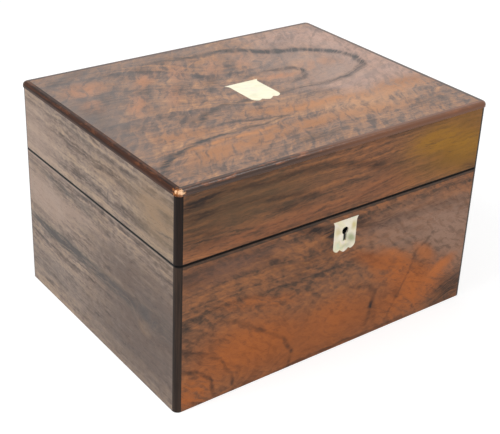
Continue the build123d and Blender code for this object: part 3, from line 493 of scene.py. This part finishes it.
plain_darks = (
    stroke([(-130, 100), (-60, 94), (0, 98), (70, 90), (130, 94)], 6, 0.7)
    + stroke([(-130, 46), (-70, 56), (-10, 46), (60, 56), (130, 48)], 5, 0.6)
    + stroke([(-130, 150), (-40, 146), (40, 152), (130, 146)], 4, 0.6)
)
plain_patches = [(-60, 74, 70, 16, 0, 0.6), (60, 28, 80, 16, 0, 0.6), (20, 134, 90, 10, 0, 0.5)]
for side, face, hills in (
    ("right", seen_from_side, [(40, 60, 80, 44, 0, 20)]),
    ("back", seen_from_front, [(-60, 50, 120, 50, 0, 26), (90, 80, 70, 36, 0, 16)]),
):
    plain_rosewood = rosewood(
        f"rosewood_{side}", face, front_hues, sway=5.0, gap=11.0, hills=hills,
        curl=(4, 24.0, 3.4), weights=(0.7, 0.4, 0.8, 0.6, 0.3),
        tints=[(shade(152, 90, 50), plain_patches, False)], darks=(umber, plain_darks), gloss=0.4, rough=0.36,
        lip=(umber, 0.4),
    )
    dress([f"case_{side}_veneer", f"lid_{side}_veneer"], plain_rosewood)

# Corner beads, rim facings and the edge moulding
# Solid rosewood, darker than the veneer: quarter-round beads, mitred facings and a rounded top strip.
# Their arrises are handled most, so the polish is worn to paler wood along the top edge and at one corner.

top_arris = 171.0, 172.4
paling = -70.0, 30.0
rubbed_brown = shade(150, 92, 58)
paler_brown = shade(120, 74, 46)


def solid_rosewood(name, along, dark, light, gloss, worn_spots=(), rubbed=0.0, paler_right=0.0):
    """Dark straight-grained rosewood; it can be bare in spots, rubbed at the top and paler to the right."""
    finish, tree, shader = start_finish(name)
    place, parts = on_face(tree, *grain_ways[along])
    bands = cloud(tree, place, (0.012, 0.5, 0.5), 4.0, 0.6, 0.5)
    fibre = cloud(tree, place, (0.1, 2.4, 2.4), 2.0, 0.6)
    tone = calc(tree, "MULTIPLY_ADD", bands, 0.7, calc(tree, "MULTIPLY", fibre, 0.3))
    colour = chart(tree, tone, [(0.36, dark), (0.56, light), (0.7, light)])
    if rubbed:
        rub = smooth(tree, cloud(tree, place, (0.07, 0.2, 0.2), 4.0, 0.7), 0.5, 0.68, 0.0, rubbed)
        on_arris = smooth(tree, parts["Z"], *top_arris)
        colour = tint(tree, calc(tree, "MULTIPLY", rub, on_arris), colour, rubbed_brown)
    if paler_right:
        colour = tint(tree, smooth(tree, parts["X"], *paling, 0.0, paler_right), colour, paler_brown)
    if worn_spots:
        here = put(tree, "CombineXYZ", {0: parts["X"], 1: parts["Y"], 2: parts["Z"]}).outputs[0]
        ragged = smooth(tree, cloud(tree, here, 0.7, 3.0, 0.6), 0.3, 0.7, -1.0, 1.0)
    for spot, reach, worn_colour in worn_spots:
        away = calc(tree, "MULTIPLY_ADD", ragged, reach * 0.45, distance(tree, here, spot))
        colour = tint(tree, smooth(tree, away, reach * 0.5, reach, 0.95, 0.0), colour, worn_colour)
    # Painted shade: black along the seam on the corner beads.
    if along == "Z":
        colour = seam_shade(tree, colour, parts["Z"])
    tree.links.new(colour, shader.inputs["Base Color"])
    shader.inputs["Roughness"].default_value = 0.3
    shader.inputs["Specular IOR Level"].default_value = gloss
    raise_surface(tree, shader, fibre, 0.00004)
    return finish


lid_beads = solid_rosewood("rosewood_beads_lid", "Z", shade(16, 11, 9), shade(36, 24, 19), 0.12)
case_beads = solid_rosewood("rosewood_beads_case", "Z", shade(34, 26, 22), shade(58, 44, 36), 0.12)
facings = solid_rosewood("rosewood_facings", "X", shade(50, 30, 22), shade(88, 52, 36), 0.4)
dress(["lid_corner_beads"], lid_beads)
dress(["case_corner_beads"], case_beads)
dress(["case_rim_facing", "lid_rim_facing"], facings)

bare_wood, brown_wood = shade(232, 184, 140), shade(150, 92, 50)
worn_corner = [
    ((-139.0, -108.0, 171.2), 4.6, brown_wood),
    ((-137.0, -108.8, 171.8), 2.3, bare_wood),
    ((-139.9, -106.4, 171.9), 1.2, bare_wood),
]
strip_dark, strip_light = shade(30, 22, 18), shade(74, 48, 34)
front_strip = solid_rosewood(
    "rosewood_moulding_front", "X", strip_dark, strip_light, 0.4, worn_corner, rubbed=0.9, paler_right=0.7,
)
left_strip = solid_rosewood(
    "rosewood_moulding_left", "Y", shade(24, 14, 10), shade(66, 36, 21), 0.12, worn_corner, rubbed=0.3,
)
dress(["front_moulding"], front_strip)
dress(["left_moulding"], left_strip)
for side, along in (("back", "X"), ("right", "Y")):
    strip = solid_rosewood(f"rosewood_moulding_{side}", along, strip_dark, strip_light, 0.5, rubbed=0.4)
    dress([f"{side}_moulding"], strip)

# Mother-of-pearl inlays
# A cartouche in the lid and an escutcheon round the keyhole, sawn from shell and let in flush with the wood.
# The shell's layers give it faint bands of green, pink and straw that lie unevenly across each piece.


def pearl(name, ground, band_turn, shine, steadiness, clouded=()):
    """Polished shell: a pale ground with drifting tints and a soft sheen; clouded is colours over patches."""
    finish, tree, shader = start_finish(name)
    place = put(tree, "TexCoord").outputs["Object"]
    turn = {"Rotation": (0, 0, math.radians(band_turn)), "Scale": (1000, 1000, 1000)}
    turned = put(tree, "Mapping", {"Vector": place, **turn}).outputs[0]
    layers = cloud(tree, turned, (0.045, 0.11, 0.08), 2.0, 0.5, 1.2)
    clouds = cloud(tree, turned, (0.09, 0.05, 0.07), 2.0, 0.5, 0.8)
    fine = cloud(tree, turned, (0.2, 1.4, 0.9), 3.0, 0.6)
    tints = chart(tree, layers, [
        (0.32, shade(206, 208, 172)), (0.42, shade(232, 220, 176)), (0.50, ground),
        (0.60, shade(238, 220, 206)), (0.70, shade(214, 216, 186)),
    ])
    colour = tint(tree, smooth(tree, clouds, 0.3, 0.7, steadiness, 0.9), tints, ground)
    colour = tint(tree, smooth(tree, fine, 0.55, 0.8, 0.0, 0.25), colour, shade(170, 160, 132))
    if clouded:
        flat, _ = on_face(tree, *seen_from_front)
        drifted = shift(tree, flat, 0.12, 1.5)
    for cloud_colour, patches in clouded:
        colour = tint(tree, stains(tree, drifted, patches), colour, cloud_colour)
    tree.links.new(colour, shader.inputs["Base Color"])
    shader.inputs["Roughness"].default_value = 0.26
    shader.inputs["Coat Weight"].default_value = shine
    shader.inputs["Coat Roughness"].default_value = 0.08
    raise_surface(tree, shader, fine, 0.00004)
    return finish


escutcheon_clouds = [
    (shade(206, 190, 132), [(-2, 102, 4.5, 6, 10, 0.7), (12.5, 104, 3.4, 6, 0, 1.0)]),
    (shade(160, 164, 122), [(11, 94, 8, 5, -40, 1.0), (6, 89, 7, 3, 0, 0.5)]),
    (shade(206, 222, 192), [(12, 112, 4, 3, 0, 0.7), (-2, 90, 3, 4, 0, 0.5)]),
    (shade(244, 236, 220), [(0, 97, 5, 4, 0, 0.7), (6, 106, 4, 4, 0, 0.5)]),
]
cartouche_pearl = pearl("pearl_cartouche", shade(255, 248, 214), 24, shine=0.6, steadiness=0.6)
escutcheon_pearl = pearl("pearl_escutcheon", shade(232, 222, 196), -58, 0.4, 0.1, escutcheon_clouds)
dress(["cartouche"], cartouche_pearl)
dress(["escutcheon"], escutcheon_pearl)

# Linings of the case and lid, and the ledges under the tray
# Card and thin boards covered in plain blue glazed paper, pasted down, slightly cockled and faded in places.
# The tray stands on the ledges.


def glazed_paper(name, ground):
    """Plain coloured paper with fibres and slow cockling."""
    finish, tree, shader = start_finish(name)
    place = put(tree, "TexCoord").outputs["Object"]
    fibres = cloud(tree, place, 2400.0, 3.0, 0.6)
    age = cloud(tree, place, 26.0, 4.0, 0.6)
    colour = tint(tree, smooth(tree, fibres, 0.4, 0.7, 0.0, 0.3), ground, shade(150, 160, 172))
    colour = tint(tree, smooth(tree, age, 0.52, 0.8, 0.0, 0.35), colour, shade(122, 108, 84))
    tree.links.new(colour, shader.inputs["Base Color"])
    shader.inputs["Roughness"].default_value = 0.55
    raise_surface(tree, shader, calc(tree, "MULTIPLY_ADD", age, 3.0, fibres), 0.00012)
    return finish


paper = glazed_paper("lining_blue_paper", shade(82, 104, 134))
dress(["floor_lining", "case_wall_lining", "lid_wall_lining", "tray_rests"], paper)

# Lock, link plate, hinges and screws
# Rolled and filed brass let in flush with the rims; the lock's bolt, spring and drill pin are dark steel.
# Brass that is never polished goes brown, and all in front of the lock plate is painted black as shade inside
# the keyhole.

lock_plate_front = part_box("lock_cap")[1].y + 0.00005


def worked_metal(name, bright, dull, rough, grain):
    """Brass or steel with file marks along X and a tarnish that comes and goes."""
    finish, tree, shader = start_finish(name)
    place = put(tree, "TexCoord").outputs["Object"]
    tarnish = cloud(tree, place, 260.0, 4.0, 0.65)
    marks = cloud(tree, place, (300, 5200, 5200), 2.0, 0.5)
    colour = tint(tree, smooth(tree, tarnish, 0.38, 0.68), bright, dull)
    # Painted shade: all that lies in front of the lock plate, inside the keyhole, is black.
    depth = put(tree, "SeparateXYZ", {0: place}).outputs["Y"]
    keyhole_shade = calc(tree, "LESS_THAN", depth, lock_plate_front)
    colour = tint(tree, keyhole_shade, colour, shade(14, 12, 10))
    tree.links.new(colour, shader.inputs["Base Color"])
    shader.inputs["Metallic"].default_value = 1.0
    tree.links.new(smooth(tree, tarnish, 0.3, 0.7, rough, rough + 0.22), shader.inputs["Roughness"])
    raise_surface(tree, shader, marks, grain)
    return finish


brass = worked_metal("brass_hardware", shade(206, 168, 98), shade(138, 104, 56), 0.28, 0.00002)
steel = worked_metal("steel_lock_parts", shade(132, 130, 128), shade(86, 78, 70), 0.34, 0.00003)
dress([f"{hand}_hinge_{half}_leaf" for hand in ("left", "right") for half in ("case", "lid")], brass)
dress(["left_hinge_pin", "right_hinge_pin", "hinge_case_screws", "hinge_lid_screws"], brass)
dress(["lock_plate", "lock_cap", "lock_selvedge_screws", "lock_plate_screws"], brass)
dress(["link_plate", "link_plate_screws"], brass)
dress(["lock_bolt", "lock_spring", "lock_drill_pin"], steel)

# Lift-out tray
# Thin polished hardwood: four walls, crossing partitions halved over each other, and a floor papered inside.
# It carries the cells for thread and needles round the pincushion.

tray_light, tray_dark = shade(138, 86, 52), shade(84, 48, 30)
tray_rings = 3.0
tray_x_wood = plain_wood("tray_wood_long", "X", tray_light, tray_dark, tray_rings)
tray_y_wood = plain_wood("tray_wood_cross", "Y", tray_light, tray_dark, tray_rings)
dress(["tray_long_walls", "tray_long_partitions"], tray_x_wood)
dress(["tray_end_walls", "tray_cross_partitions"], tray_y_wood)
dress(["tray_floor"], paper)

# Silk pincushion
# Silk stretched over wool packed hard into the tray's middle cell, so that it crowns between the partitions.
# Its sides are drawn in between the corners, and below its widest line it tapers to a flat foot.

cushion_low, cushion_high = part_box("pincushion")
cushion_size = cushion_high - cushion_low
cushion_middle = (cushion_low + cushion_high) / 2
cushion_draw = 0.035
waist_height = 0.0255
foot_clearance = 0.0002
foot_slope = 0.12
crease_depth = 0.0004
weld_reach = 1e-6


def silk(name, ground, sheen_colour, rib):
    """Ribbed silk with a soft sheen that is uneven where the cloth is drawn."""
    finish, tree, shader = start_finish(name)
    place = put(tree, "TexCoord").outputs["Object"]
    weave = {"Vector": place, "Scale": rib, "Distortion": 0.6, "Detail": 1.0, "Detail Scale": 2.0}
    ribs = put(tree, "TexWave", weave, bands_direction="Y").outputs[1]
    threads = cloud(tree, place, (5200, 900, 2400), 2.0, 0.6)
    fading = cloud(tree, place, 30.0, 3.0, 0.5)
    colour = tint(tree, smooth(tree, fading, 0.4, 0.75, 0.0, 0.4), ground, shade(150, 158, 166))
    colour = tint(tree, smooth(tree, threads, 0.35, 0.75, 0.0, 0.3), colour, shade(58, 76, 104))
    tree.links.new(colour, shader.inputs["Base Color"])
    shader.inputs["Roughness"].default_value = 0.5
    shader.inputs["Sheen Weight"].default_value = 0.5
    shader.inputs["Sheen Roughness"].default_value = 0.35
    shader.inputs["Sheen Tint"].default_value = sheen_colour
    raise_surface(tree, shader, calc(tree, "MULTIPLY_ADD", threads, 0.4, ribs), 0.00010)
    return finish


def set_out(name, mesh):
    """A smooth object from mesh code, put into the scene."""
    data = bpy.data.meshes.new(name)
    mesh.to_mesh(data)
    mesh.free()
    for face in data.polygons:
        face.use_smooth = True
    made = bpy.data.objects.new(name, data)
    bpy.context.scene.collection.objects.link(made)
    return made


def cushion_skin(name, columns, rows, point):
    """A closed skin: an upper and a lower sheet of point(u, v, upper), welded round the edge."""
    mesh = bmesh.new()
    for upper in (True, False):
        sheet = []
        for j in range(rows + 1):
            sheet.append([mesh.verts.new(point(i / columns, j / rows, upper)) for i in range(columns + 1)])
        for near, far in zip(sheet, sheet[1:]):
            for i in range(columns):
                ring = [near[i], near[i + 1], far[i + 1], far[i]]
                mesh.faces.new(ring if upper else ring[::-1])
    bmesh.ops.remove_doubles(mesh, verts=mesh.verts, dist=weld_reach)
    bmesh.ops.recalc_face_normals(mesh, faces=mesh.faces)
    return set_out(name, mesh)


def smooth_step(t):
    """0 to 1 with soft ends."""
    t = min(1.0, max(0.0, t))
    return t * t * (3 - 2 * t)


def on_cushion(u, v, middle, size, draw):
    """A place on a cushion whose sides draw in: a and b from -1 to 1, x, y, and its nearness to the edge."""
    a, b = 2 * u - 1, 2 * v - 1
    edge = max(abs(a), abs(b))
    pull = 1 - draw * (1 - min(abs(a), abs(b)) ** 2)
    x = middle.x + a * size.x / 2 * (pull if edge == abs(a) else 1)
    y = middle.y + b * size.y / 2 * (pull if edge == abs(b) else 1)
    return a, b, x, y, edge


def crown(a, b, fullness, softness):
    """How far a cushion swells, from nothing at its edge to 1 in the middle."""
    return (1 - abs(a) ** fullness) ** softness * (1 - abs(b) ** fullness) ** softness


def cushion_point(u, v, upper):
    """A point of the pincushion's skin: crowned above its widest line, tapered and flat below it."""
    a, b, x, y, edge = on_cushion(u, v, cushion_middle, cushion_size, cushion_draw)
    if not upper:
        foot = smooth_step((1 - edge) / foot_slope)
        return Vector((x, y, cushion_low.z + waist_height * (1 - foot) + foot_clearance * foot))
    swell = crown(a, b, 2.2, 0.7)
    crease = crease_depth * noise.noise(Vector((a * 5, b * 5, 2.0))) * swell
    return Vector((x, y, cushion_low.z + waist_height + (cushion_size.z - waist_height) * swell + crease))


blue_silk = silk("silk_blue", shade(92, 116, 150), shade(188, 200, 216), 520.0)
pincushion = cushion_skin("pincushion_silk", 48, 36, cushion_point)
pincushion.data.materials.append(blue_silk)
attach(pincushion, "tray")
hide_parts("pincushion")

# Ribbon tabs of the tray
# A short length of silk ribbon at each end, doubled over and glued inside the end wall, to lift the tray by.
# Each stands up in a small loop above the rim.

ribbon_low, ribbon_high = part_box("tray_ribbons")
ribbon_width = ribbon_high.y - ribbon_low.y
ribbon_margin = 0.0004
ribbon_gauge = 0.0003
loop_radius = 0.0022
free_end = 0.006
outer_steps, loop_steps, free_steps = 8, 12, 5
strips = 6
crest = ribbon_high.z - ribbon_margin - loop_radius
for hand, side in (("left", -1), ("right", 1)):
    outer_x = side * ribbon_high.x - side * ribbon_margin
    run = []
    for i in range(outer_steps + 1):
        run.append(Vector((outer_x, 0, ribbon_low.z + (crest - ribbon_low.z) * i / outer_steps)))
    for i in range(1, loop_steps + 1):
        angle = math.pi * i / loop_steps
        inward = side * loop_radius * (1 - math.cos(angle))
        run.append(Vector((outer_x - inward, 0, crest + loop_radius * math.sin(angle))))
    inner_x = run[-1].x
    run += [Vector((inner_x, 0, crest - free_end * i / free_steps)) for i in range(1, free_steps + 1)]
    ribbon = bmesh.new()
    rows = []
    for p in run:
        across = [(k / strips - 0.5) * (ribbon_width - ribbon_margin) for k in range(strips + 1)]
        rows.append([ribbon.verts.new((p.x, y, p.z)) for y in across])
    for low, high in zip(rows, rows[1:]):
        for k in range(strips):
            ribbon.faces.new((low[k], low[k + 1], high[k + 1], high[k]))
    tab = set_out(f"{hand}_tray_ribbon", ribbon)
    thick = tab.modifiers.new("gauge", "SOLIDIFY")
    thick.thickness = ribbon_gauge
    thick.offset = 0
    tab.data.materials.append(blue_silk)
    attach(tab, "tray")
    if side < 0:
        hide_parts("tray_ribbons")

# Silk pad in the lid
# Blue silk gathered over wadding on a card, glued under the lid's top. The gathers run from a tuft in the
# middle to the edges, where the silk is turned over the card.

pad_low, pad_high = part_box("lid_pad")
pad_size = pad_high - pad_low
pad_middle = (pad_low + pad_high) / 2
pad_draw = 0.012
pad_rim = 0.0034
pad_clearance = 0.0002
card_slope = 0.05
gather_count = 92
gather_depth = 0.0007
gather_start = 0.03
tuft_reach = 0.011
tuft_depth = 0.55


def pad_point(u, v, upper):
    """A point of the lid pad's skin; the pad hangs under the lid, so its crown points down."""
    a, b, x, y, edge = on_cushion(u, v, pad_middle, pad_size, pad_draw)
    if not upper:
        card = smooth_step((1 - edge) / card_slope)
        return Vector((x, y, pad_high.z - pad_clearance - pad_rim * (1 - card)))
    swell = crown(a, b, 5, 0.5)
    reach = math.hypot(x, y)
    tuft = math.exp(-((reach / tuft_reach) ** 2))
    drift = 2.2 * noise.noise(Vector((x * 30, y * 30, 5.0)))
    fold = math.sin(gather_count * math.atan2(y, x) + drift)
    fold = gather_depth * (fold * 0.5 + 0.5) * swell * smooth_step(reach / gather_start)
    depth = (pad_size.z - pad_rim) * swell - fold
    return Vector((x, y, pad_high.z - pad_rim - max(0.0, depth) * (1 - tuft_depth * tuft)))


lid_pad = cushion_skin("lid_pad_silk", 240, 190, pad_point)
lid_pad.data.materials.append(blue_silk)
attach(lid_pad, "lid")
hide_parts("lid_pad")

# Camera, light and floor
# The camera stands where the photograph was taken, a little left of the near corner. Broad soft lamps stand
# to the left and in front, and a small one to the right gives the front moulding its shine. The white floor
# keeps the shadow, lies just under the box and is clear from below, so that the underside can be looked at.

camera_turn = 63.50276, -2.03722, -36.14058
sky_on_box, sky_seen = 0.42, 1.0
floor_reach = 6.0
floor_drop = 0.0003
floor_glow = 0.6

camera_data = bpy.data.cameras.new("camera")
camera = bpy.data.objects.new("camera", camera_data)
bpy.context.scene.collection.objects.link(camera)
camera.location = (-0.46804, -0.60920, 0.48328)
camera.rotation_euler = Euler([math.radians(a) for a in camera_turn])
camera_data.lens = 78.234
camera_data.sensor_width = 36.0
camera_data.shift_x = 0.0119
camera_data.shift_y = -0.0828
camera_data.clip_end = 20.0
bpy.context.scene.camera = camera


def soft_lamp(name, place, aim, size, power):
    """A square soft lamp aimed at a point."""
    data = bpy.data.lights.new(name, "AREA")
    data.shape = "SQUARE"
    data.size = size
    data.energy = power
    lamp = bpy.data.objects.new(name, data)
    bpy.context.scene.collection.objects.link(lamp)
    lamp.location = place
    lamp.rotation_euler = (Vector(aim) - Vector(place)).to_track_quat("-Z", "Y").to_euler()


soft_lamp("lamp_left", (-1.5, 0.35, 1.35), aim=(0, 0, 0.1), size=1.3, power=25.0)
soft_lamp("lamp_front", (-0.4, -1.8, 1.0), aim=(0, 0, 0.08), size=1.4, power=19.0)
soft_lamp("lamp_right", (0.75, -0.43, 1.49), aim=(-0.08, -0.1, 0.17), size=0.35, power=4.0)

world = bpy.data.worlds.new("studio")
bpy.context.scene.world = world
world.use_nodes = True
sky = world.node_tree
rays = put(sky, "LightPath").outputs
mirrored = calc(sky, "MAXIMUM", rays["Is Glossy Ray"], rays["Is Transmission Ray"])
seen = calc(sky, "MAXIMUM", rays["Is Camera Ray"], mirrored)
strength = put(sky, "MapRange", {"Value": seen, "To Min": sky_on_box, "To Max": sky_seen}).outputs[0]
ambient = sky.nodes["Background"]
ambient.inputs["Color"].default_value = (1, 1, 1, 1)
sky.links.new(strength, ambient.inputs["Strength"])

floor_mesh = bmesh.new()
bmesh.ops.create_grid(floor_mesh, x_segments=1, y_segments=1, size=floor_reach)
floor = set_out("floor", floor_mesh)
floor.location.z = -floor_drop
floor_finish, floor_tree, floor_shader = start_finish("white_floor")
floor_shader.inputs["Base Color"].default_value = (0.55, 0.55, 0.55, 1)
floor_shader.inputs["Roughness"].default_value = 0.9
floor_shader.inputs["Specular IOR Level"].default_value = 0.0
floor_shader.inputs["Emission Color"].default_value = (1, 1, 1, 1)
floor_rays = put(floor_tree, "LightPath").outputs
floor_seen = calc(floor_tree, "MAXIMUM", floor_rays["Is Camera Ray"], floor_rays["Is Glossy Ray"])
glow = calc(floor_tree, "MULTIPLY", floor_seen, floor_glow)
floor_tree.links.new(glow, floor_shader.inputs["Emission Strength"])
from_below = put(floor_tree, "NewGeometry").outputs["Backfacing"]
clear = put(floor_tree, "BsdfTransparent").outputs[0]
surface = put(floor_tree, "MixShader", {0: from_below, 1: floor_shader.outputs[0], 2: clear}).outputs[0]
floor_tree.links.new(surface, floor_tree.nodes["Material Output"].inputs["Surface"])
floor.data.materials.append(floor_finish)

bpy.context.scene.view_settings.view_transform = "Standard"
